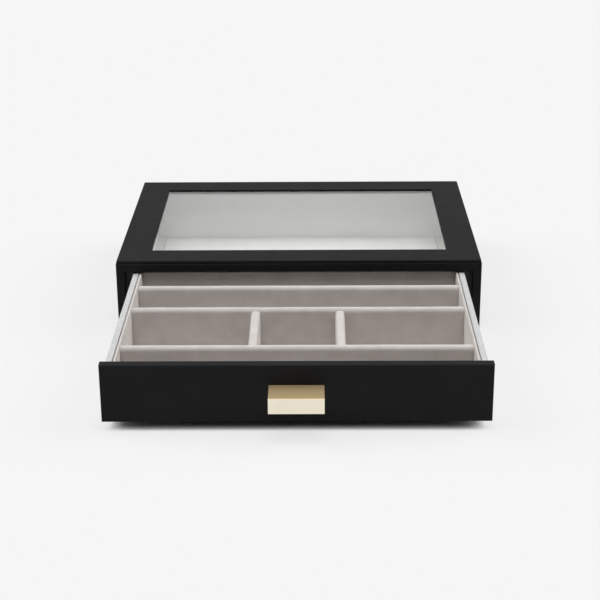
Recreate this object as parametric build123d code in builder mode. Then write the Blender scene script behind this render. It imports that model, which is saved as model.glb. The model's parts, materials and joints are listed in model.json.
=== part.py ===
from build123d import *
import os

# A stackable jewellery drawer: a lacquered carcass under a glazed top frame, and one drawer with
# a velvet tray, shown pulled out to its stop. Millimetres. X runs across, Y runs from front to
# back and Z is up. The origin is the middle of the carcass on the surface that it stands on.

# Carcass
casing_width = 301.0
casing_depth = 222.0
board = 9.5
side_board = 6.8
bottom_thick = 6.0
bottom_let = 3.0
felt_thick = 1.0
felt_inset = 2.0
opening_height = 45.5
rail_height = 7.0
corner_radius = 1.2
arris = 0.5
seam_chamfer = 0.6

# Top frame and its glass
frame_thick = 7.0
flange_thick = 2.5
plug_clearance = 0.2
seam_step = 0.5
frame_width = 27.0
glass_recess = 1.0
glass_thick = 3.0
glass_ledge = 5.0
glass_clearance = 0.5
top_edge_radius = 1.0
window_edge_radius = 0.5
bead_width = 4.2
bead_gap = 0.2

# Linings, runners, stops and dowels in the carcass
floor_lining_thick = 1.0
rear_lining_thick = 5.0
lining_side_gap = 0.5
rear_lining_side_gap = 0.3
lining_front_gap = 14.0
lining_top_gap = 0.2
runner_leg_width = 14.2
runner_leg_thick = 2.2
runner_guide_thick = 6.9
runner_guide_height = 9.0
runner_front_gap = 0.8
runner_rear_gap = 0.5
runner_fillet = 1.0
stop_thick = 6.6
stop_length = 4.5
stop_height = 36.0
stop_from_floor = 9.5
stop_front_gap = 0.7
bumper_width = 8.0
bumper_height = 8.0
bumper_thick = 1.2
bumper_from_floor = 19.0
bumper_clearance = 0.3
dowel_radius = 2.0
dowel_in_side = 4.0
dowel_in_board = 14.0
rail_dowel_spacing = 5.0
back_dowel_spacing = 21.0
back_dowel_count = 3

# Drawer box
front_gap = 0.6
front_side_gap = 3.8
front_thick = 7.8
front_edge_radius = 0.8
side_thick = 4.6
side_gap = 7.3
side_below_front = 1.0
side_top_radius = 0.9
runner_clearance = 0.2
housing_depth = 3.0
drawer_bottom_thick = 3.0
drawer_bottom_lip = 1.5
bottom_groove_depth = 2.3
groove_clearance = 0.1
back_thick = 6.0
back_let = 1.6
back_below_side = 1.0
tail_length = 6.5
lug_length = 6.0
lug_height = 12.0
lug_thick = 3.4
lug_from_tail_end = 0.2
stop_clearance = 0.3

# Velvet tray; the main row takes the depth that the other rows leave
tray_clearance = 0.4
tray_end_clearance = 0.3
tray_floor_thick = 2.5
tray_wall = 2.2
tray_wall_radius = 1.0
divider_thick = 7.2
divider_radius = 3.4
partition_thick = 7.0
partition_radius = 3.3
partition_below = 0.8
partition_centre = 32.6
front_slot = 26.2
middle_row = 39.3
rear_slot = 26.6

# Brass pull
pull_width = 39.5
pull_reach = 23.1
pull_height = 11.8
pull_metal = 2.5
pull_outer_radius = 0.8
pull_inner_radius = 0.5
pull_below_front = 15.1
pull_edge = 0.3
screw_spacing = 22.0
screw_radius = 1.45
screw_hole_radius = 1.6
screw_tapping_radius = 1.5
screw_head_radius = 2.75
screw_head_height = 2.0
screw_recess_radius = 3.2
screw_recess_depth = 2.4
screw_tip_clearance = 0.2
screw_below_pull_top = 7.0

# Places that several pieces share
front_y = -casing_depth / 2
rear_y = casing_depth / 2
inner_x = casing_width / 2 - side_board
inner_rear_y = rear_y - board
lining_face_y = inner_rear_y - rear_lining_thick
floor_z = felt_thick + bottom_thick
rail_z = floor_z + opening_height
carcass_z = rail_z + rail_height
top_z = carcass_z + flange_thick
frame_z = top_z - frame_thick
carcass_height = carcass_z - felt_thick

window_x = casing_width - 2 * frame_width
window_y = casing_depth - 2 * frame_width
glass_x = window_x + 2 * (glass_ledge - glass_clearance)
glass_y = window_y + 2 * (glass_ledge - glass_clearance)
glass_top_z = top_z - glass_recess
glass_z = glass_top_z - glass_thick
lining_half_width = inner_x - runner_leg_width - lining_side_gap

# The drawer's travel: its lugs meet the stops when it is open, its tails the bumpers when it is shut.
# Runners and stops start behind the shut drawer front, which is let into the opening.
shut_front_rear_y = front_y + front_thick
runner_y = shut_front_rear_y + runner_front_gap
stop_y = shut_front_rear_y + stop_front_gap
stop_z = floor_z + stop_from_floor
lug_y = stop_y + stop_length + stop_clearance
bumper_face_y = lining_face_y - bumper_thick
tail_y = lug_y + lug_length + lug_from_tail_end
tail_shut_y = bumper_face_y - bumper_clearance
drawer_pull = tail_shut_y - tail_y

drawer_y = front_y - drawer_pull
front_rear_y = drawer_y + front_thick
front_width = 2 * (inner_x - front_side_gap)
front_height = opening_height - 2 * front_gap
front_z = floor_z + front_gap
front_top_z = front_z + front_height
side_out_x = inner_x - side_gap
side_in_x = side_out_x - side_thick
side_z = floor_z + runner_leg_thick + runner_clearance
side_top_z = front_top_z - side_below_front
drawer_bottom_z = side_z + drawer_bottom_lip
tray_z = drawer_bottom_z + drawer_bottom_thick
compartment_z = tray_z + tray_floor_thick

tray_x = side_in_x - tray_clearance
tray_in_x = tray_x - tray_wall
back_y = tail_y - tail_length - back_thick
tray_y = front_rear_y + tray_end_clearance
tray_end_y = back_y - tray_end_clearance
divider_front_y = tray_y + tray_wall + front_slot
tray_rear_wall_y = tray_end_y - tray_wall
divider_rear_y = tray_rear_wall_y - rear_slot - divider_thick
divider_middle_y = divider_rear_y - middle_row - divider_thick
main_row = divider_middle_y - divider_front_y - divider_thick

pull_top_z = front_top_z - pull_below_front
pull_z = pull_top_z - pull_height
screw_z = pull_top_z - screw_below_pull_top

os.makedirs("parts", exist_ok=True)


def facing_front(y):
    """A plane at this Y whose own x is X and own y is Z; it faces the front."""
    return Plane.XZ.offset(-y)


# Felt sheet under the carcass: the face that rests on a table or on the unit below
with BuildPart() as base_felt:
    with BuildSketch(Plane.XY):
        RectangleRounded(casing_width - 2 * felt_inset, casing_depth - 2 * felt_inset, corner_radius)
    extrude(amount=felt_thick)
base_felt.part.label = "base_felt"
export_step(base_felt.part, "parts/base_felt.step")

# Bottom board, let into a rebate in both sides and the back
with BuildPart() as casing_bottom:
    with BuildSketch(Plane.XY.offset(felt_thick)):
        with Locations((0, (front_y + inner_rear_y + bottom_let) / 2)):
            Rectangle(2 * (inner_x + bottom_let), inner_rear_y + bottom_let - front_y)
    extrude(amount=bottom_thick)
    front_edges = casing_bottom.edges().filter_by(Axis.X).group_by(Axis.Y)[0]
    fillet(front_edges, arris)
casing_bottom.part.label = "casing_bottom"
export_step(casing_bottom.part, "parts/casing_bottom.step")

# Side boards: the bottom's rebate inside, dowel holes for the rail and the back, soft outer corners
rail_dowel_first_y = front_y + (board - rail_dowel_spacing) / 2
rail_dowels = [(rail_dowel_first_y + i * rail_dowel_spacing, rail_z + rail_height / 2) for i in range(2)]
back_dowel_first_z = felt_thick + (carcass_height - (back_dowel_count - 1) * back_dowel_spacing) / 2
back_dowels = [
    (rear_y - board / 2, back_dowel_first_z + i * back_dowel_spacing) for i in range(back_dowel_count)
]

with BuildPart() as casing_side_right:
    with BuildSketch(facing_front(front_y)):
        with Locations((inner_x, felt_thick)):
            Rectangle(side_board, carcass_height, align=(Align.MIN, Align.MIN))
            Rectangle(bottom_let, bottom_thick, align=(Align.MIN, Align.MIN), mode=Mode.SUBTRACT)
    extrude(amount=-casing_depth)
    fillet(casing_side_right.edges().filter_by(Axis.Z).group_by(Axis.X)[-1], corner_radius)
    chamfer(casing_side_right.edges().group_by(Axis.Z)[-1].sort_by(Axis.X)[1:], seam_chamfer)
    with BuildSketch(Plane.YZ.offset(inner_x)):
        with Locations(*rail_dowels, *back_dowels):
            Circle(dowel_radius)
    extrude(amount=dowel_in_side, mode=Mode.SUBTRACT)
casing_side_right.part.label = "casing_side_right"
export_step(casing_side_right.part, "parts/casing_side_right.step")

with BuildPart() as casing_side_left:
    mirror(casing_side_right.part, about=Plane.YZ)
casing_side_left.part.label = "casing_side_left"
export_step(casing_side_left.part, "parts/casing_side_left.step")

# Rail over the drawer opening
with BuildPart() as front_rail:
    with BuildSketch(Plane.XY.offset(rail_z)):
        with Locations((0, front_y + board / 2)):
            Rectangle(2 * inner_x, board)
    extrude(amount=rail_height)
    front_rail_front = front_rail.edges().filter_by(Axis.X).group_by(Axis.Y)[0]
    chamfer(front_rail_front.sort_by(Axis.Z)[-1], seam_chamfer)
    fillet(front_rail_front.sort_by(Axis.Z)[0], arris)
    for end in (-inner_x, inner_x):
        with BuildSketch(Plane.YZ.offset(end)):
            with Locations(*rail_dowels):
                Circle(dowel_radius)
        extrude(amount=-dowel_in_board if end > 0 else dowel_in_board, mode=Mode.SUBTRACT)
front_rail.part.label = "front_rail"
export_step(front_rail.part, "parts/front_rail.step")

# Back board between the sides
with BuildPart() as casing_back:
    with BuildSketch(Plane.YZ.offset(-inner_x)):
        with Locations((inner_rear_y, felt_thick)):
            Rectangle(board, carcass_height, align=(Align.MIN, Align.MIN))
            Rectangle(bottom_let, bottom_thick, align=(Align.MIN, Align.MIN), mode=Mode.SUBTRACT)
    extrude(amount=2 * inner_x)
    rear_top_edge = casing_back.edges().filter_by(Axis.X).group_by(Axis.Z)[-1].sort_by(Axis.Y)[-1]
    chamfer(rear_top_edge, seam_chamfer)
    for end in (-inner_x, inner_x):
        with BuildSketch(Plane.YZ.offset(end)):
            with Locations(*back_dowels):
                Circle(dowel_radius)
        extrude(amount=-dowel_in_board if end > 0 else dowel_in_board, mode=Mode.SUBTRACT)
casing_back.part.label = "casing_back"
export_step(casing_back.part, "parts/casing_back.step")

# Dowels that pin the rail and the back to the sides
with BuildPart() as case_dowels:
    for start in (-inner_x - dowel_in_side, inner_x - dowel_in_board):
        with BuildSketch(Plane.YZ.offset(start)):
            with Locations(*rail_dowels, *back_dowels):
                Circle(dowel_radius)
        extrude(amount=dowel_in_side + dowel_in_board)
case_dowels.part.label = "case_dowels"
export_step(case_dowels.part, "parts/case_dowels.step")

# Top frame: a thin flange over the carcass, a plug inside it, the window and the glass rebate
with BuildPart() as top_frame:
    with BuildSketch(Plane.XY.offset(carcass_z)):
        RectangleRounded(casing_width - 2 * seam_step, casing_depth - 2 * seam_step, corner_radius)
    extrude(amount=flange_thick)
    fillet(top_frame.faces().sort_by(Axis.Z)[-1].edges(), top_edge_radius)
    chamfer(top_frame.faces().sort_by(Axis.Z)[0].edges(), seam_chamfer)
    with BuildSketch(Plane.XY.offset(frame_z)):
        Rectangle(2 * (inner_x - plug_clearance), 2 * (inner_rear_y - plug_clearance))
    extrude(amount=carcass_z - frame_z)
    with BuildSketch(Plane.XY.offset(frame_z)):
        Rectangle(window_x, window_y)
    extrude(amount=frame_thick, mode=Mode.SUBTRACT)
    with BuildSketch(Plane.XY.offset(frame_z)):
        Rectangle(window_x + 2 * glass_ledge, window_y + 2 * glass_ledge)
    extrude(amount=glass_top_z - frame_z, mode=Mode.SUBTRACT)
    window_edges = top_frame.faces().sort_by(Axis.Z)[-1].inner_wires()[0].edges()
    fillet(window_edges, window_edge_radius)
top_frame.part.label = "top_frame"
export_step(top_frame.part, "parts/top_frame.step")

# Glass pane, its arrises ground off
with BuildPart() as window_glass:
    with BuildSketch(Plane.XY.offset(glass_z)):
        Rectangle(glass_x, glass_y)
    extrude(amount=glass_thick)
    chamfer(window_glass.edges(), arris / 2)
window_glass.part.label = "window_glass"
export_step(window_glass.part, "parts/window_glass.step")

# Four beads hold the glass up against the ledge
with BuildPart() as glazing_beads:
    with BuildSketch(Plane.XY.offset(frame_z)):
        with GridLocations(0, glass_y - bead_width, 1, 2):
            Rectangle(glass_x, bead_width)
        with GridLocations(glass_x - bead_width, 0, 2, 1):
            Rectangle(bead_width, glass_y - 2 * (bead_width + bead_gap))
    extrude(amount=glass_z - frame_z)
    chamfer(glazing_beads.edges().group_by(Axis.Z)[0], arris)
glazing_beads.part.label = "glazing_beads"
export_step(glazing_beads.part, "parts/glazing_beads.step")

# Velvet on the carcass floor, between the runners
with BuildPart() as floor_lining:
    floor_lining_y = front_y + lining_front_gap
    floor_lining_depth = inner_rear_y - floor_lining_y
    with BuildSketch(Plane.XY.offset(floor_z)):
        with Locations((0, floor_lining_y + floor_lining_depth / 2)):
            Rectangle(2 * lining_half_width, floor_lining_depth)
    extrude(amount=floor_lining_thick)
floor_lining.part.label = "floor_lining"
export_step(floor_lining.part, "parts/floor_lining.step")

# Padded velvet over the whole inside of the back, standing on the floor's
with BuildPart() as rear_lining:
    rear_lining_z = floor_z + floor_lining_thick
    with BuildSketch(Plane.XY.offset(rear_lining_z)):
        with Locations((0, inner_rear_y - rear_lining_thick / 2)):
            Rectangle(2 * (inner_x - rear_lining_side_gap), rear_lining_thick)
    extrude(amount=frame_z - lining_top_gap - rear_lining_z)
rear_lining.part.label = "rear_lining"
export_step(rear_lining.part, "parts/rear_lining.step")

# Angle runners: the foot carries the drawer side, the upright guides it
with BuildPart() as runner_right:
    with BuildSketch(facing_front(runner_y)):
        with Locations((inner_x, floor_z)):
            Rectangle(runner_leg_width, runner_leg_thick, align=(Align.MAX, Align.MIN))
            Rectangle(runner_guide_thick, runner_guide_height, align=(Align.MAX, Align.MIN))
    runner_length = lining_face_y - runner_rear_gap - runner_y
    extrude(amount=-runner_length)
    runner_inner_top = runner_right.edges().filter_by(Axis.Y).group_by(Axis.Z)[-1].sort_by(Axis.X)[0]
    fillet(runner_inner_top, runner_fillet)
runner_right.part.label = "runner_right"
export_step(runner_right.part, "parts/runner_right.step")

with BuildPart() as runner_left:
    mirror(runner_right.part, about=Plane.YZ)
runner_left.part.label = "runner_left"
export_step(runner_left.part, "parts/runner_left.step")

# Stops on the carcass sides: tall strips that also close the gaps beside the shut drawer front
with BuildPart() as stop_block_right:
    with BuildSketch(Plane.YZ.offset(inner_x)):
        with Locations((stop_y, stop_z)):
            Rectangle(stop_length, stop_height, align=(Align.MIN, Align.MIN))
    extrude(amount=-stop_thick)
    fillet(stop_block_right.edges().filter_by(Axis.Z).group_by(Axis.X)[0], arris)
stop_block_right.part.label = "stop_block_right"
export_step(stop_block_right.part, "parts/stop_block_right.step")

with BuildPart() as stop_block_left:
    mirror(stop_block_right.part, about=Plane.YZ)
stop_block_left.part.label = "stop_block_left"
export_step(stop_block_left.part, "parts/stop_block_left.step")

# Felt bumpers on the rear lining, which meet the drawer's side tails when it is shut
bumper_x = side_out_x - side_thick / 2
with BuildPart() as rear_bumpers:
    with BuildSketch(facing_front(lining_face_y)):
        with Locations((0, floor_z + bumper_from_floor)):
            with GridLocations(2 * bumper_x, 0, 2, 1):
                RectangleRounded(bumper_width, bumper_height, corner_radius)
    extrude(amount=bumper_thick)
rear_bumpers.part.label = "rear_bumpers"
export_step(rear_bumpers.part, "parts/rear_bumpers.step")

# Drawer front: housings for the sides and bottom in its rear face, recessed screws for the pull
with BuildPart() as drawer_front:
    with BuildSketch(facing_front(drawer_y)):
        with Locations((0, front_z)):
            Rectangle(front_width, front_height, align=(Align.CENTER, Align.MIN))
    extrude(amount=-front_thick)
    fillet(drawer_front.faces().sort_by(Axis.Y)[0].edges(), front_edge_radius)
    fillet(drawer_front.faces().sort_by(Axis.Y)[-1].edges(), arris)
    with BuildSketch(facing_front(front_rear_y)):
        with Locations((0, (side_z + side_top_z) / 2)):
            with GridLocations(side_in_x + side_out_x, 0, 2, 1):
                Rectangle(side_thick, side_top_z - side_z)
        with Locations((0, drawer_bottom_z)):
            Rectangle(2 * side_in_x, drawer_bottom_thick, align=(Align.CENTER, Align.MIN))
    extrude(amount=housing_depth, mode=Mode.SUBTRACT)
    with BuildSketch(facing_front(front_rear_y)):
        with Locations((0, screw_z)):
            with GridLocations(screw_spacing, 0, 2, 1):
                Circle(screw_recess_radius)
    extrude(amount=screw_recess_depth, mode=Mode.SUBTRACT)
    with BuildSketch(facing_front(front_rear_y)):
        with Locations((0, screw_z)):
            with GridLocations(screw_spacing, 0, 2, 1):
                Circle(screw_hole_radius)
    extrude(amount=front_thick, mode=Mode.SUBTRACT)
drawer_front.part.label = "drawer_front"
export_step(drawer_front.part, "parts/drawer_front.step")

# Drawer sides: they run on past the back as tails, so that the drawer stays held when pulled out
side_start_y = front_rear_y - housing_depth
with BuildPart() as drawer_side_right:
    with BuildSketch(facing_front(side_start_y)):
        with Locations((side_in_x, side_z)):
            Rectangle(side_thick, side_top_z - side_z, align=(Align.MIN, Align.MIN))
        with Locations((side_in_x, drawer_bottom_z)):
            Rectangle(
                bottom_groove_depth,
                drawer_bottom_thick,
                align=(Align.MIN, Align.MIN),
                mode=Mode.SUBTRACT,
            )
    extrude(amount=side_start_y - tail_y)
    with BuildSketch(Plane.XY.offset(tray_z)):
        with Locations((side_in_x, back_y)):
            Rectangle(back_let, back_thick, align=(Align.MIN, Align.MIN))
    extrude(amount=side_top_z - back_below_side - tray_z, mode=Mode.SUBTRACT)
    fillet(drawer_side_right.edges().filter_by(Axis.Y).group_by(Axis.Z)[-1], side_top_radius)
drawer_side_right.part.label = "drawer_side_right"
export_step(drawer_side_right.part, "parts/drawer_side_right.step")

with BuildPart() as drawer_side_left:
    mirror(drawer_side_right.part, about=Plane.YZ)
drawer_side_left.part.label = "drawer_side_left"
export_step(drawer_side_left.part, "parts/drawer_side_left.step")

# Drawer back, standing on the bottom and let into the sides
with BuildPart() as drawer_back:
    with BuildSketch(Plane.XY.offset(tray_z)):
        with Locations((0, back_y + back_thick / 2)):
            Rectangle(2 * (side_in_x + back_let), back_thick)
    extrude(amount=side_top_z - back_below_side - tray_z)
    fillet(drawer_back.edges().filter_by(Axis.X).group_by(Axis.Z)[-1], arris)
drawer_back.part.label = "drawer_back"
export_step(drawer_back.part, "parts/drawer_back.step")

# Drawer bottom in its grooves
with BuildPart() as drawer_bottom:
    with BuildSketch(Plane.XY.offset(drawer_bottom_z)):
        with Locations((0, (front_rear_y + back_y + back_thick) / 2)):
            groove_reach = side_in_x + bottom_groove_depth - groove_clearance
            Rectangle(2 * groove_reach, back_y + back_thick - front_rear_y)
    with BuildSketch(Plane.XY.offset(drawer_bottom_z)):
        with Locations((0, front_rear_y)):
            tongue = housing_depth - groove_clearance
            Rectangle(2 * side_in_x, tongue, align=(Align.CENTER, Align.MAX))
    extrude(amount=drawer_bottom_thick)
drawer_bottom.part.label = "drawer_bottom"
export_step(drawer_bottom.part, "parts/drawer_bottom.step")

# Velvet-covered floor of the tray
with BuildPart() as tray_floor:
    with BuildSketch(Plane.XY.offset(tray_z)):
        with Locations((0, (tray_y + tray_end_y) / 2)):
            Rectangle(2 * tray_x, tray_end_y - tray_y)
    extrude(amount=tray_floor_thick)
tray_floor.part.label = "tray_floor"
export_step(tray_floor.part, "parts/tray_floor.step")

# Tray side walls, along the whole tray
with BuildPart() as tray_wall_right:
    with BuildSketch(Plane.XY.offset(compartment_z)):
        with Locations((tray_in_x, tray_y)):
            Rectangle(tray_wall, tray_end_y - tray_y, align=(Align.MIN, Align.MIN))
    extrude(amount=side_top_z - compartment_z)
    fillet(tray_wall_right.edges().filter_by(Axis.Y).group_by(Axis.Z)[-1], tray_wall_radius)
tray_wall_right.part.label = "tray_wall_right"
export_step(tray_wall_right.part, "parts/tray_wall_right.step")

with BuildPart() as tray_wall_left:
    mirror(tray_wall_right.part, about=Plane.YZ)
tray_wall_left.part.label = "tray_wall_left"
export_step(tray_wall_left.part, "parts/tray_wall_left.step")

# Walls and dividers that run across the tray, each with a rounded velvet top
cross_pieces = (
    ("tray_wall_front", tray_y, tray_wall, tray_wall_radius),
    ("divider_front", divider_front_y, divider_thick, divider_radius),
    ("divider_middle", divider_middle_y, divider_thick, divider_radius),
    ("divider_rear", divider_rear_y, divider_thick, divider_radius),
    ("tray_wall_rear", tray_rear_wall_y, tray_wall, tray_wall_radius),
)
for label, start_y, thick, radius in cross_pieces:
    with BuildPart() as cross_piece:
        with BuildSketch(Plane.XY.offset(compartment_z)):
            with Locations((0, start_y + thick / 2)):
                Rectangle(2 * tray_in_x, thick)
        extrude(amount=side_top_z - compartment_z)
        fillet(cross_piece.edges().filter_by(Axis.X).group_by(Axis.Z)[-1], radius)
    cross_piece.part.label = label
    export_step(cross_piece.part, f"parts/{label}.step")

# Short partitions that split the main row in three
for label, centre_x in (("partition_left", -partition_centre), ("partition_right", partition_centre)):
    with BuildPart() as partition:
        with BuildSketch(Plane.XY.offset(compartment_z)):
            with Locations((centre_x, divider_middle_y - main_row / 2)):
                Rectangle(partition_thick, main_row)
        extrude(amount=side_top_z - partition_below - compartment_z)
        fillet(partition.edges().filter_by(Axis.Y).group_by(Axis.Z)[-1], partition_radius)
    partition.part.label = label
    export_step(partition.part, f"parts/{label}.step")

# Pull: a brass channel, open below, with a flange on the drawer front, a plate and a lip
with BuildPart() as handle:
    with BuildSketch(Plane.YZ.offset(-pull_width / 2)) as pull_profile:
        with Locations((drawer_y, pull_z)):
            Rectangle(pull_reach, pull_height, align=(Align.MAX, Align.MIN))
        with Locations((drawer_y - pull_metal, pull_z)):
            Rectangle(
                pull_reach - 2 * pull_metal,
                pull_height - pull_metal,
                align=(Align.MAX, Align.MIN),
                mode=Mode.SUBTRACT,
            )
        fillet(pull_profile.vertices().group_by(Axis.Y)[-1], pull_outer_radius)
        fillet(pull_profile.vertices().group_by(Axis.Y)[-3], pull_inner_radius)
    extrude(amount=pull_width)
    chamfer(handle.faces().sort_by(Axis.X)[0].edges(), pull_edge)
    chamfer(handle.faces().sort_by(Axis.X)[-1].edges(), pull_edge)
    with BuildSketch(facing_front(drawer_y)):
        with Locations((0, screw_z)):
            with GridLocations(screw_spacing, 0, 2, 1):
                Circle(screw_tapping_radius)
    extrude(amount=pull_metal, mode=Mode.SUBTRACT)
handle.part.label = "handle"
export_step(handle.part, "parts/handle.step")

# Screws that hold the pull from inside the drawer front
with BuildPart() as handle_screws:
    screw_seat_y = front_rear_y - screw_recess_depth
    with BuildSketch(facing_front(screw_seat_y)):
        with Locations((0, screw_z)):
            with GridLocations(screw_spacing, 0, 2, 1):
                Circle(screw_head_radius)
    extrude(amount=-screw_head_height)
    with BuildSketch(facing_front(screw_seat_y)):
        with Locations((0, screw_z)):
            with GridLocations(screw_spacing, 0, 2, 1):
                Circle(screw_radius)
    extrude(amount=screw_seat_y - drawer_y + pull_metal - screw_tip_clearance)
handle_screws.part.label = "handle_screws"
export_step(handle_screws.part, "parts/handle_screws.step")

# Stop lugs on the tails, which meet the stop blocks when the drawer is pulled out
with BuildPart() as stop_lug_right:
    with BuildSketch(Plane.YZ.offset(side_out_x)):
        with Locations((lug_y, stop_z)):
            Rectangle(lug_length, lug_height, align=(Align.MIN, Align.MIN))
    extrude(amount=lug_thick)
    fillet(stop_lug_right.edges().filter_by(Axis.Z).group_by(Axis.X)[-1], arris)
stop_lug_right.part.label = "stop_lug_right"
export_step(stop_lug_right.part, "parts/stop_lug_right.step")

with BuildPart() as stop_lug_left:
    mirror(stop_lug_right.part, about=Plane.YZ)
stop_lug_left.part.label = "stop_lug_left"
export_step(stop_lug_left.part, "parts/stop_lug_left.step")
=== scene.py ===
import json
import math

import bmesh
import bpy
from mathutils import Matrix, Vector, noise


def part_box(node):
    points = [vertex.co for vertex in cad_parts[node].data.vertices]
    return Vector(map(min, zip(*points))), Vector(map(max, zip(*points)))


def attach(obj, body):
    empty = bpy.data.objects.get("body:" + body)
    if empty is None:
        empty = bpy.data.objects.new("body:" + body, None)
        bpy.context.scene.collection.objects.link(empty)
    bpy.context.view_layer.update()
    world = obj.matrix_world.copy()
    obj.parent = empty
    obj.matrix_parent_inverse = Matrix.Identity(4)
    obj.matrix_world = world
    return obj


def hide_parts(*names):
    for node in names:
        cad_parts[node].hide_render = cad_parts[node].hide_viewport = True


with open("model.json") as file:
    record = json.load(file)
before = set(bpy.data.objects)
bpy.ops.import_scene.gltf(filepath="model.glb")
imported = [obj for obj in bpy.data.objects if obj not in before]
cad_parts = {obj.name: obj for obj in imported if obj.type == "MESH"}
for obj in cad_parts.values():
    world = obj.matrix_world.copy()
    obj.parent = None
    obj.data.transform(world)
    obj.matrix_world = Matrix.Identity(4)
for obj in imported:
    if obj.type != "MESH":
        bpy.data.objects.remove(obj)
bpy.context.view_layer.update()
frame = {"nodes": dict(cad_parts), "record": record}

# Sizes are in metres. X runs across, Y from the drawer front to the back, and Z is up.
MM = 0.001

# Camera, at the photograph's viewing angle
CAMERA_PLACE = (0.01267, -1.24225, 0.47573)
CAMERA_YAW = -0.010341
CAMERA_PITCH = 0.377316
CAMERA_ROLL = -0.007016
CAMERA_LENS = 88.11
CAMERA_SENSOR = 36.0
CAMERA_NEAR = 0.01
CAMERA_FAR = 100.0

# Studio
FLOOR_HALF = 12.0
FLOOR_COLOUR = (0.81, 0.81, 0.81)
BACKDROP_COLOUR = (0.913, 0.913, 0.913)
AMBIENT = 0.05
SUNS = {
    "sun_top": {"power": 1.50, "azimuth": 0.0, "elevation": 79.0, "spread": 40.0},
    "sun_left": {"power": 1.65, "azimuth": -100.0, "elevation": 38.0, "spread": 50.0},
    "sun_right": {"power": 1.65, "azimuth": 100.0, "elevation": 38.0, "spread": 50.0},
}

# Shadows on the floor: the share of the lamps' own shadow, then the painted shadow near the box:
# how far from it the floor is darkened and how open it is where it turns black and where it is
# clear
SHADOW_SHARE = 0.25
PAINTED_SHADOW_REACH = 0.030
PAINTED_SHADOW_BLACK = 0.22
PAINTED_SHADOW_CLEAR = 0.50

# Colours, each pair from its darkest tone to its lightest
BLACK = (0.0, 0.0, 0.0)
LACQUER_TONES = ((0.0165, 0.0165, 0.0176), (0.0195, 0.0195, 0.0207))
GREY_BOARD_TONES = ((0.43, 0.43, 0.435), (0.64, 0.64, 0.64))
TRAY_VELVET_TONES = ((0.545, 0.508, 0.483), (0.680, 0.643, 0.617))
# Painted light: both linings are paler copies of the tray's velvet, to light the inside of the
# casing. The padded rear lining is the palest; the laid floor lining is a shade darker than it,
# painted shade against it.
LAID_LINING_PAINTED_LIGHT_TONES = ((0.77, 0.76, 0.74), (0.86, 0.85, 0.83))
PADDED_LINING_PAINTED_LIGHT_TONES = ((0.90, 0.895, 0.88), (0.96, 0.955, 0.94))
BLACK_FELT_TONES = ((0.015, 0.015, 0.016), (0.045, 0.045, 0.046))
PALE_FELT_TONES = ((0.74, 0.73, 0.71), (0.86, 0.85, 0.83))
BRASS_TONES = ((0.85, 0.79, 0.66), (0.91, 0.86, 0.74))
# Painted reflection: the deeper tone that the brass is given where it faces up
BRASS_TOP_PAINTED_REFLECTION = (0.393, 0.302, 0.173)
STEEL_TONES = ((0.52, 0.53, 0.56), (0.68, 0.69, 0.70))
UNDYED_NYLON_TONES = ((0.60, 0.57, 0.54), (0.70, 0.67, 0.64))
BLACK_NYLON_TONES = ((0.012, 0.012, 0.013), (0.022, 0.022, 0.023))
BEECH_TONES = ((0.48, 0.31, 0.17), (0.68, 0.50, 0.32))
GLASS_BODY = (0.985, 0.995, 0.985)
GLASS_CLEAR = (0.98, 0.99, 0.98)

# Velvet boards
WALL_RADIUS = 1.0 * MM
DIVIDER_RADIUS = 3.4 * MM
DIVIDER_DROP = 0.9 * MM
PARTITION_RADIUS = 1.8 * MM
PARTITION_DROP = 1.3 * MM
BOARD_STATION = 2.5 * MM
BOARD_LEAST_STATIONS = 8
BOARD_SIDE_STEPS = 10
BOARD_ARC_STEPS = 6
BOARD_SWELL = 0.15 * MM
BOARD_WAVE = 0.14 * MM
BOARD_SEED_STEP = 3.1
WAVE_LENGTH = 21 * MM
WAVE_SKEW = 0.37
END_TUCK = 0.45 * MM
END_TUCK_REACH = 2.0 * MM

# Slabs of velvet and felt. A slab's ripple grows to its full height within SLAB_CALM_EDGES times
# the radius of its edge.
SLAB_STATION = 3.0 * MM
SLAB_EDGE_STEPS = 4
SLAB_CALM_EDGES = 6
VELVET_RIPPLE = 0.12 * MM
TRAY_EDGE = 0.6 * MM
LINING_EDGE = 0.4 * MM
FELT_EDGE = 0.3 * MM
BUMPER_WIDTH = 8 * MM

# Edges of a soft mesh that turn by more than this many degrees stay sharp
SHARP_ANGLE = 50


def placed(name, data):
    """A new object, put in the scene."""
    thing = bpy.data.objects.new(name, data)
    bpy.context.scene.collection.objects.link(thing)
    return thing


def camera_turn(yaw, pitch, roll):
    """The camera's rotation: yaw turns it sideways, pitch tips it down, roll turns the picture."""
    flat = math.cos(pitch)
    forward = Vector((math.sin(yaw) * flat, math.cos(yaw) * flat, -math.sin(pitch)))
    level = Vector((math.cos(yaw), -math.sin(yaw), 0.0))
    above = level.cross(forward)
    right = level * math.cos(roll) + above * math.sin(roll)
    up = above * math.cos(roll) - level * math.sin(roll)
    return Matrix((right, up, -forward)).transposed()


def make_camera():
    data = bpy.data.cameras.new("photo_camera")
    data.sensor_fit = "HORIZONTAL"
    data.sensor_width = CAMERA_SENSOR
    data.lens = CAMERA_LENS
    data.clip_start = CAMERA_NEAR
    data.clip_end = CAMERA_FAR
    camera = placed("photo_camera", data)
    turn = camera_turn(CAMERA_YAW, CAMERA_PITCH, CAMERA_ROLL).to_4x4()
    camera.matrix_world = Matrix.Translation(CAMERA_PLACE) @ turn
    bpy.context.scene.camera = camera


def combined(nodes, links, operation, first, second):
    """Two values joined by a Math node. The second may be a plain number."""
    joined = nodes.new("ShaderNodeMath")
    joined.operation = operation
    links.new(first, joined.inputs[0])
    if isinstance(second, float):
        joined.inputs[1].default_value = second
    else:
        links.new(second, joined.inputs[1])
    return joined.outputs["Value"]


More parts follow.
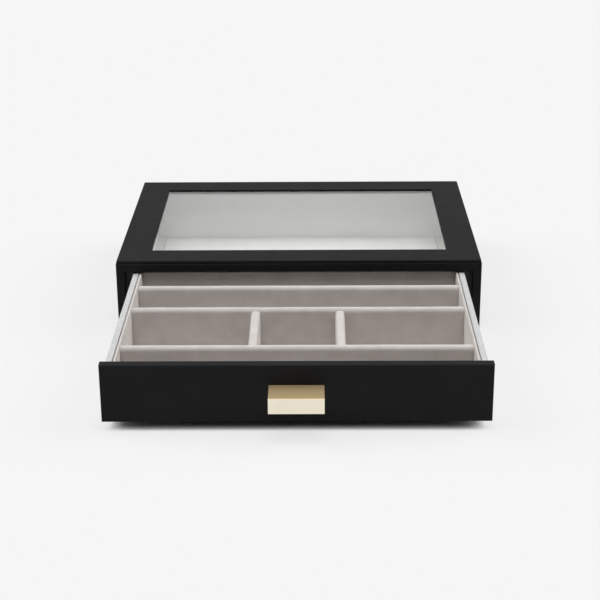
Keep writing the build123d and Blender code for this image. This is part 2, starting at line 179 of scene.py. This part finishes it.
def mix_surface(nodes, links, output, share, first, second):
    """Gives the output node the first shader where share is 0 and the second where it is 1."""
    mix = nodes.new("ShaderNodeMixShader")
    links.new(share, mix.inputs["Fac"])
    links.new(first, mix.inputs[1])
    links.new(second, mix.inputs[2])
    links.new(mix.outputs["Shader"], nodes[output].inputs["Surface"])


def seen_directly(nodes, links):
    """1 for camera rays and for rays that metal or glass sends on, 0 for rays that light things."""
    path = nodes.new("ShaderNodeLightPath")
    seen = path.outputs["Is Camera Ray"]
    for ray in ("Is Glossy Ray", "Is Transmission Ray"):
        seen = combined(nodes, links, "MAXIMUM", seen, path.outputs[ray])
    return seen


class Finish:
    """A node material: the Principled shader with short ways to add textures to it.

    Other sockets of the shader are set by name, with an underscore for each space."""

    def __init__(self, name, colour, roughness, **sockets):
        self.material = bpy.data.materials.new(name)
        self.material.use_nodes = True
        self.nodes = self.material.node_tree.nodes
        self.links = self.material.node_tree.links
        self.shader = self.nodes["Principled BSDF"]
        self.shader.inputs["Base Color"].default_value = (*colour, 1.0)
        self.shader.inputs["Roughness"].default_value = roughness
        for socket, value in sockets.items():
            self.shader.inputs[socket.replace("_", " ")].default_value = value
        self.place = self.nodes.new("ShaderNodeTexCoord").outputs["Object"]

    def stretched(self, scale):
        """The place on the piece, scaled along each axis by the number given for it."""
        mapping = self.nodes.new("ShaderNodeMapping")
        mapping.inputs["Scale"].default_value = scale
        self.links.new(self.place, mapping.inputs["Vector"])
        return mapping.outputs["Vector"]

    def noise(self, size, detail=2.0, rough=0.5, stretch=(1, 1, 1)):
        """Noise whose blobs are about size metres across."""
        texture = self.nodes.new("ShaderNodeTexNoise")
        texture.inputs["Scale"].default_value = 1.0 / size
        texture.inputs["Detail"].default_value = detail
        texture.inputs["Roughness"].default_value = rough
        self.links.new(self.stretched(stretch), texture.inputs["Vector"])
        return texture.outputs["Fac"]

    def spread(self, value, low=0.0, high=1.0, start=0.3, end=0.7):
        """Value remapped so that start gives low and end gives high."""
        mapped = self.nodes.new("ShaderNodeMapRange")
        mapped.inputs["From Min"].default_value = start
        mapped.inputs["From Max"].default_value = end
        mapped.inputs["To Min"].default_value = low
        mapped.inputs["To Max"].default_value = high
        self.links.new(value, mapped.inputs["Value"])
        return mapped.outputs["Result"]

    def add(self, first, second):
        return combined(self.nodes, self.links, "ADD", first, second)

    def tones(self, value, dark, light):
        """A colour between dark and light, by value."""
        ramp = self.nodes.new("ShaderNodeMix")
        ramp.data_type = "RGBA"
        ramp.inputs["A"].default_value = (*dark, 1.0)
        ramp.inputs["B"].default_value = (*light, 1.0)
        self.links.new(value, ramp.inputs["Factor"])
        return ramp.outputs["Result"]

    def blend(self, value, source, light):
        """A colour between a textured source and light, by value."""
        mixed = self.tones(value, light, light)
        self.links.new(source, mixed.node.inputs["A"])
        return mixed

    def colour(self, source):
        self.links.new(source, self.shader.inputs["Base Color"])

    def roughness(self, source):
        self.links.new(source, self.shader.inputs["Roughness"])

    def bump(self, height, depth, strength):
        """A bump whose height of 1 is depth metres."""
        bump = self.nodes.new("ShaderNodeBump")
        bump.inputs["Strength"].default_value = strength
        bump.inputs["Distance"].default_value = depth
        self.links.new(height, bump.inputs["Height"])
        self.links.new(bump.outputs["Normal"], self.shader.inputs["Normal"])


def black_lacquer():
    """Satin black: a soft sheen, a faint orange peel and slight cloudiness."""
    finish = Finish("black_lacquer", (0.018, 0.018, 0.019), 0.6, Specular_IOR_Level=0.024)
    cloud = finish.noise(45 * MM, detail=3.0)
    finish.colour(finish.tones(finish.spread(cloud), *LACQUER_TONES))
    grain = finish.noise(0.9 * MM)
    blotch = finish.noise(12 * MM)
    base = finish.spread(grain, low=0.56, high=0.64)
    finish.roughness(finish.add(base, finish.spread(blotch, low=0.0, high=0.06)))
    finish.bump(grain, depth=0.012 * MM, strength=0.6)
    return finish.material


def velvet(name, dark, light):
    """Short pile: fine tufts, and a nap that lies lighter and darker in soft patches."""
    finish = Finish(
        name, light, 0.9,
        Specular_IOR_Level=0.15,
        Sheen_Weight=0.42,
        Sheen_Roughness=0.35,
        Sheen_Tint=(1.0, 0.97, 0.94, 1.0),
    )
    tuft = finish.noise(0.45 * MM, detail=3.0, rough=0.7)
    nap = finish.noise(14 * MM, detail=3.0, rough=0.55)
    fine = finish.spread(tuft, low=-0.25, high=0.25)
    shade = finish.add(fine, finish.spread(nap, low=0.25, high=0.75))
    finish.colour(finish.tones(shade, dark, light))
    finish.roughness(finish.spread(nap, low=0.82, high=0.96))
    finish.bump(tuft, depth=0.16 * MM, strength=0.7)
    return finish.material


def grey_board():
    """Board wrapped in pale grey paper with a fine darker fleck."""
    finish = Finish("grey_board", (0.55, 0.55, 0.55), 0.62, Specular_IOR_Level=0.3)
    fleck = finish.noise(1.1 * MM, detail=4.0, rough=0.75)
    finish.colour(finish.tones(finish.spread(fleck, start=0.34, end=0.62), *GREY_BOARD_TONES))
    fibre = finish.noise(0.5 * MM, stretch=(1, 0.15, 1))
    finish.roughness(finish.spread(fibre, low=0.55, high=0.72))
    finish.bump(fibre, depth=0.02 * MM, strength=0.5)
    return finish.material


def felt(name, dark, light):
    """Pressed felt, with matted fibres."""
    finish = Finish(name, light, 0.95, Specular_IOR_Level=0.1, Sheen_Weight=0.2)
    fibres = finish.noise(0.6 * MM, detail=5.0, rough=0.8)
    finish.colour(finish.tones(finish.spread(fibres), dark, light))
    finish.roughness(finish.spread(fibres, low=0.88, high=1.0))
    finish.bump(fibres, depth=0.2 * MM, strength=0.8)
    return finish.material


def brass():
    """Pale satin brass, brushed along its length, with a deeper painted reflection where it faces
    up.
    """
    finish = Finish("brass", (0.86, 0.76, 0.56), 0.4, Metallic=1.0)
    strokes = finish.noise(0.35 * MM, detail=4.0, rough=0.7, stretch=(0.02, 1, 1))
    tarnish = finish.noise(9 * MM)
    fine = finish.spread(strokes, low=-0.2, high=0.2)
    shade = finish.add(fine, finish.spread(tarnish, low=0.3, high=0.7))
    front = finish.tones(shade, *BRASS_TONES)
    # Painted reflection: faces that turn up are blended towards a deeper tone, for the darker
    # surroundings the top reflects
    normal = finish.nodes.new("ShaderNodeNewGeometry").outputs["Normal"]
    facing = finish.nodes.new("ShaderNodeSeparateXYZ")
    finish.links.new(normal, facing.inputs["Vector"])
    finish.colour(finish.blend(finish.spread(facing.outputs["Z"]), front, BRASS_TOP_PAINTED_REFLECTION))
    finish.roughness(finish.spread(strokes, low=0.60, high=0.70))
    finish.bump(strokes, depth=0.01 * MM, strength=0.5)
    return finish.material


def window_glass():
    """Clear float glass. Lamps shine through it, so that what lies below is lit."""
    finish = Finish("window_glass", GLASS_BODY, 0.0, IOR=1.52, Transmission_Weight=1.0)
    smear = finish.noise(60 * MM)
    finish.roughness(finish.spread(smear, low=0.0, high=0.012))
    clear = finish.nodes.new("ShaderNodeBsdfTransparent")
    clear.inputs["Color"].default_value = (*GLASS_CLEAR, 1.0)
    rays = finish.nodes.new("ShaderNodeLightPath").outputs
    lighting = combined(
        finish.nodes, finish.links, "MAXIMUM", rays["Is Shadow Ray"], rays["Is Diffuse Ray"])
    mix_surface(
        finish.nodes, finish.links, "Material Output", lighting,
        finish.shader.outputs["BSDF"], clear.outputs["BSDF"])
    return finish.material


def screw_steel():
    """Zinc plate with a dull, slightly spangled surface."""
    finish = Finish("screw_steel", (0.60, 0.61, 0.63), 0.35, Metallic=1.0)
    spangle = finish.noise(0.7 * MM, detail=3.0)
    finish.colour(finish.tones(finish.spread(spangle), *STEEL_TONES))
    finish.roughness(finish.spread(spangle, low=0.28, high=0.45))
    return finish.material


def nylon(name, dark, light):
    """Nylon with a faint drawn grain along the drawer's travel."""
    finish = Finish(name, light, 0.5, Specular_IOR_Level=0.3)
    drawn = finish.noise(0.6 * MM, stretch=(1, 0.05, 1))
    finish.colour(finish.tones(finish.spread(drawn), dark, light))
    finish.roughness(finish.spread(drawn, low=0.42, high=0.58))
    finish.bump(drawn, depth=0.02 * MM, strength=0.5)
    return finish.material


def dowel_wood():
    """Beech, with its grain along the dowel."""
    finish = Finish("dowel_wood", (0.60, 0.42, 0.25), 0.6)
    grain = finish.noise(0.8 * MM, detail=4.0, stretch=(0.06, 1, 1))
    finish.colour(finish.tones(finish.spread(grain), *BEECH_TONES))
    finish.roughness(finish.spread(grain, low=0.5, high=0.7))
    finish.bump(grain, depth=0.04 * MM, strength=0.5)
    return finish.material


def finished_piece(name, bm, material, body, node):
    """Turns bm into a piece that stands in the scene in place of a node."""
    bmesh.ops.recalc_face_normals(bm, faces=bm.faces)
    mesh = bpy.data.meshes.new(name)
    bm.to_mesh(mesh)
    bm.free()
    mesh.materials.append(material)
    for polygon in mesh.polygons:
        polygon.use_smooth = True
    mesh.set_sharp_from_angle(angle=math.radians(SHARP_ANGLE))
    piece = placed(name, mesh)
    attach(piece, body)
    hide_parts(node)
    return piece


def wave(point, seed):
    """Smooth noise from about -1 to 1 at a place in the model."""
    return noise.noise(point / WAVE_LENGTH + Vector((seed, seed * WAVE_SKEW, -seed)))


def board_profile(half, height, radius):
    """The outline of a board seen from its end, from its bottom left over the round top."""
    straight = height - radius
    outline = [(-half, straight * i / BOARD_SIDE_STEPS) for i in range(BOARD_SIDE_STEPS)]
    for i in range(BOARD_ARC_STEPS + 1):
        turn = math.pi / 2 * i / BOARD_ARC_STEPS
        outline.append((-half + radius * (1 - math.cos(turn)), straight + radius * math.sin(turn)))
    return outline + [(-across, up) for across, up in reversed(outline)]


def wrapped_board(node, run, radius, drop, material, seed):
    """A board wrapped in velvet: round on top, a little swollen, its ends tucked in at the walls.

    It fills the node's box up to drop below its top. Run is 0 for a board along X, 1 along Y."""
    low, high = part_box(node)
    across = 1 - run
    half = (high[across] - low[across]) / 2
    middle = (high[across] + low[across]) / 2
    height = high.z - low.z - drop
    length = high[run] - low[run]
    stations = max(BOARD_LEAST_STATIONS, round(length / BOARD_STATION))
    outline = board_profile(half - BOARD_SWELL, height - BOARD_WAVE, radius)
    bm = bmesh.new()
    rings = []
    for i in range(stations + 1):
        along = length * i / stations
        from_end = min(along, length - along)
        tuck = END_TUCK * max(0.0, 1 - from_end / END_TUCK_REACH) ** 2
        ring = []
        for side, up in outline:
            share = up / height
            bulge = math.sin(math.pi * min(1.0, share))
            swell = BOARD_SWELL * bulge * math.copysign(1, side)
            place = Vector((0, 0, low.z + up))
            place[run] = low[run] + along
            place[across] = middle + side + swell - tuck * side / half
            ripple = wave(place, seed)
            place[across] += 0.5 * BOARD_WAVE * ripple * bulge
            place.z += share * (BOARD_WAVE * ripple - tuck)
            ring.append(bm.verts.new(place))
        rings.append(ring)
    count = len(outline)
    for ring, after in zip(rings, rings[1:]):
        for i in range(count):
            j = (i + 1) % count
            bm.faces.new((ring[i], ring[j], after[j], after[i]))
    bm.faces.new(rings[0])
    bm.faces.new(rings[-1])
    return finished_piece("velvet_" + node, bm, material, "drawer", node)


def slab_stations(length, edge):
    """Places along a slab: close together over the round edges, evenly spaced between them."""
    turns = [math.pi / 2 * i / SLAB_EDGE_STEPS for i in range(SLAB_EDGE_STEPS)]
    rounded = [edge * (1 - math.cos(turn)) for turn in turns]
    inner = length - 2 * edge
    steps = max(1, round(inner / SLAB_STATION))
    even = [edge + inner * i / steps for i in range(steps + 1)]
    return rounded + even + [length - place for place in reversed(rounded)]


def add_slab(bm, origin, first, second, facing, size, edge, ripple, seed):
    """Adds a closed soft slab to bm. First and second span its face, and facing points out."""
    width, depth, thick = size
    columns = slab_stations(width, edge)
    rows = slab_stations(depth, edge)
    grid = []
    for b in rows:
        line = []
        for a in columns:
            from_rim = min(a, width - a, b, depth - b)
            from_edge = min(from_rim, edge)
            drop = edge - math.sqrt(max(0.0, edge**2 - (edge - from_edge) ** 2))
            flat = origin + first * a + second * b
            calm = min(1.0, from_rim / (SLAB_CALM_EDGES * edge))
            rise = thick - drop - ripple * calm * (0.5 + 0.5 * wave(flat, seed))
            line.append(bm.verts.new(flat + facing * rise))
        grid.append(line)
    for line, after in zip(grid, grid[1:]):
        for i in range(len(columns) - 1):
            bm.faces.new((line[i], line[i + 1], after[i + 1], after[i]))
    last_column = [line[-1] for line in grid[1:]]
    first_column = [line[0] for line in grid[-2:0:-1]]
    rim = grid[0] + last_column + grid[-1][-2::-1] + first_column
    foot = [bm.verts.new(v.co - facing * (v.co - origin).dot(facing)) for v in rim]
    for i in range(len(rim)):
        j = (i + 1) % len(rim)
        bm.faces.new((rim[j], rim[i], foot[i], foot[j]))
    bm.faces.new(foot)


def soft_slab(name, node, facing, boxes, edge, ripple, material, body, seed):
    """One piece made of a soft slab in each box. Its soft face looks up, down or to the front."""
    spans = {
        "up": (Vector((1, 0, 0)), Vector((0, 1, 0)), Vector((0, 0, 1))),
        "down": (Vector((1, 0, 0)), Vector((0, 1, 0)), Vector((0, 0, -1))),
        "front": (Vector((1, 0, 0)), Vector((0, 0, 1)), Vector((0, -1, 0))),
    }
    first, second, out = spans[facing]
    bm = bmesh.new()
    for low, high in boxes:
        extent = high - low
        origin = low.copy()
        if facing == "down":
            origin.z = high.z
        if facing == "front":
            origin.y = high.y
        size = (extent.dot(first), extent.dot(second), abs(extent.dot(out)))
        add_slab(bm, origin, first, second, out, size, edge, ripple, seed)
    return finished_piece(name, bm, material, body, node)


def end_boxes(node, width):
    """The boxes of the two pads at the left and right ends of a node."""
    low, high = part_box(node)
    left = (low, Vector((low.x + width, high.y, high.z)))
    right = (Vector((high.x - width, low.y, low.z)), high)
    return [left, right]


def dress_velvet(tray, laid_painted_light, padded_painted_light):
    """The tray's boards and floor in one velvet; the casing's linings in paler copies, painted
    light.
    """
    boards = [
        ("tray_wall_left", 1, WALL_RADIUS, 0.0),
        ("tray_wall_right", 1, WALL_RADIUS, 0.0),
        ("tray_wall_front", 0, WALL_RADIUS, 0.0),
        ("tray_wall_rear", 0, WALL_RADIUS, 0.0),
        ("divider_front", 0, DIVIDER_RADIUS, DIVIDER_DROP),
        ("divider_middle", 0, DIVIDER_RADIUS, DIVIDER_DROP),
        ("divider_rear", 0, DIVIDER_RADIUS, DIVIDER_DROP),
        ("partition_left", 1, PARTITION_RADIUS, PARTITION_DROP),
        ("partition_right", 1, PARTITION_RADIUS, PARTITION_DROP),
    ]
    for order, (node, run, radius, drop) in enumerate(boards, 1):
        wrapped_board(node, run, radius, drop, tray, order * BOARD_SEED_STEP)
    for node, facing, edge, cloth, body, seed in (
        ("tray_floor", "up", TRAY_EDGE, tray, "drawer", 41.0),
        ("floor_lining", "up", LINING_EDGE, laid_painted_light, "casing", 47.0),
        ("rear_lining", "front", LINING_EDGE, padded_painted_light, "casing", 53.0),
    ):
        soft_slab(
            "velvet_" + node, node, facing, [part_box(node)],
            edge, VELVET_RIPPLE, cloth, body, seed)


def dress_felt(black, pale):
    """The black sole, and the two pale pads that the drawer's back comes to rest on."""
    sole = soft_slab(
        "felt_base", "base_felt", "down", [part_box("base_felt")],
        FELT_EDGE, 0.0, black, "casing", 61.0)
    soft_slab(
        "felt_bumpers", "rear_bumpers", "front", end_boxes("rear_bumpers", BUMPER_WIDTH),
        FELT_EDGE, 0.0, pale, "casing", 67.0)


def dress_cad_nodes(materials):
    """Gives every node the finish of its slot in the record."""
    for entry in frame["record"]["subparts"]:
        node = frame["nodes"][entry["node"]]
        node.data.materials.clear()
        node.data.materials.append(materials[entry["material_slot"]])


def make_floor():
    """A pale floor. Seen directly, it is mostly the backdrop's colour, with painted and lamp-cast
    shadow.
    """
    mesh = bpy.data.meshes.new("floor")
    corners = [(-FLOOR_HALF, -FLOOR_HALF, 0), (FLOOR_HALF, -FLOOR_HALF, 0)]
    corners += [(FLOOR_HALF, FLOOR_HALF, 0), (-FLOOR_HALF, FLOOR_HALF, 0)]
    mesh.from_pydata(corners, [], [(0, 1, 2, 3)])
    floor = placed("floor", mesh)
    finish = Finish("floor", FLOOR_COLOUR, 0.9, Specular_IOR_Level=0.0)
    nodes = finish.nodes
    links = finish.links
    # Painted shadow: the backdrop colour the camera sees is darkened to black where the floor is
    # hemmed in near the box
    contact = nodes.new("ShaderNodeAmbientOcclusion")
    contact.inputs["Distance"].default_value = PAINTED_SHADOW_REACH
    open_air = finish.spread(contact.outputs["AO"], start=PAINTED_SHADOW_BLACK, end=PAINTED_SHADOW_CLEAR)
    pale = nodes.new("ShaderNodeEmission")
    links.new(finish.tones(open_air, BLACK, BACKDROP_COLOUR), pale.inputs["Color"])
    share = combined(nodes, links, "MULTIPLY", seen_directly(nodes, links), 1 - SHADOW_SHARE)
    mix_surface(
        nodes, links, "Material Output", share,
        finish.shader.outputs["BSDF"], pale.outputs["Emission"])
    mesh.materials.append(finish.material)


def make_world():
    """Soft light from all round. Camera, glossy and transmission rays see the pale backdrop."""
    world = bpy.data.worlds.new("studio")
    bpy.context.scene.world = world
    world.use_nodes = True
    nodes = world.node_tree.nodes
    links = world.node_tree.links
    ambient = nodes["Background"]
    ambient.inputs["Color"].default_value = (1.0, 1.0, 1.0, 1.0)
    ambient.inputs["Strength"].default_value = AMBIENT
    backdrop = nodes.new("ShaderNodeBackground")
    backdrop.inputs["Color"].default_value = (*BACKDROP_COLOUR, 1.0)
    backdrop.inputs["Strength"].default_value = 1.0
    mix_surface(
        nodes, links, "World Output", seen_directly(nodes, links),
        ambient.outputs["Background"], backdrop.outputs["Background"])


def make_suns():
    """Wide, soft lamps. Azimuth 0 is in front of the box, 90 at its right and 180 behind it."""
    for name, setting in SUNS.items():
        data = bpy.data.lights.new(name, "SUN")
        data.energy = setting["power"]
        data.angle = math.radians(setting["spread"])
        lamp = placed(name, data)
        azimuth = math.radians(setting["azimuth"])
        elevation = math.radians(setting["elevation"])
        flat = math.cos(elevation)
        across = math.sin(azimuth) * flat
        back = -math.cos(azimuth) * flat
        towards = Vector((across, back, math.sin(elevation)))
        lamp.rotation_mode = "QUATERNION"
        lamp.rotation_quaternion = towards.to_track_quat("Z", "Y")


make_camera()
finishes = {
    "black_lacquer": black_lacquer(),
    "grey_board": grey_board(),
    "velvet": velvet("velvet", *TRAY_VELVET_TONES),
    "felt": felt("felt", *BLACK_FELT_TONES),
    "window_glass": window_glass(),
    "brass": brass(),
    "screw_steel": screw_steel(),
    "runner_plastic": nylon("runner_plastic", *UNDYED_NYLON_TONES),
    "stop_plastic": nylon("stop_plastic", *BLACK_NYLON_TONES),
    "dowel_wood": dowel_wood(),
}
dress_cad_nodes(finishes)
# Paler copies of the velvet for the two linings: painted light, the padded rear one the lighter
laid_lining_painted_light = velvet("velvet_laid_painted_light", *LAID_LINING_PAINTED_LIGHT_TONES)
padded_lining_painted_light = velvet("velvet_padded_painted_light", *PADDED_LINING_PAINTED_LIGHT_TONES)
dress_velvet(finishes["velvet"], laid_lining_painted_light, padded_lining_painted_light)
dress_felt(finishes["felt"], felt("felt_pale", *PALE_FELT_TONES))
make_floor()
make_world()
make_suns()
bpy.context.scene.view_settings.view_transform = "Standard"
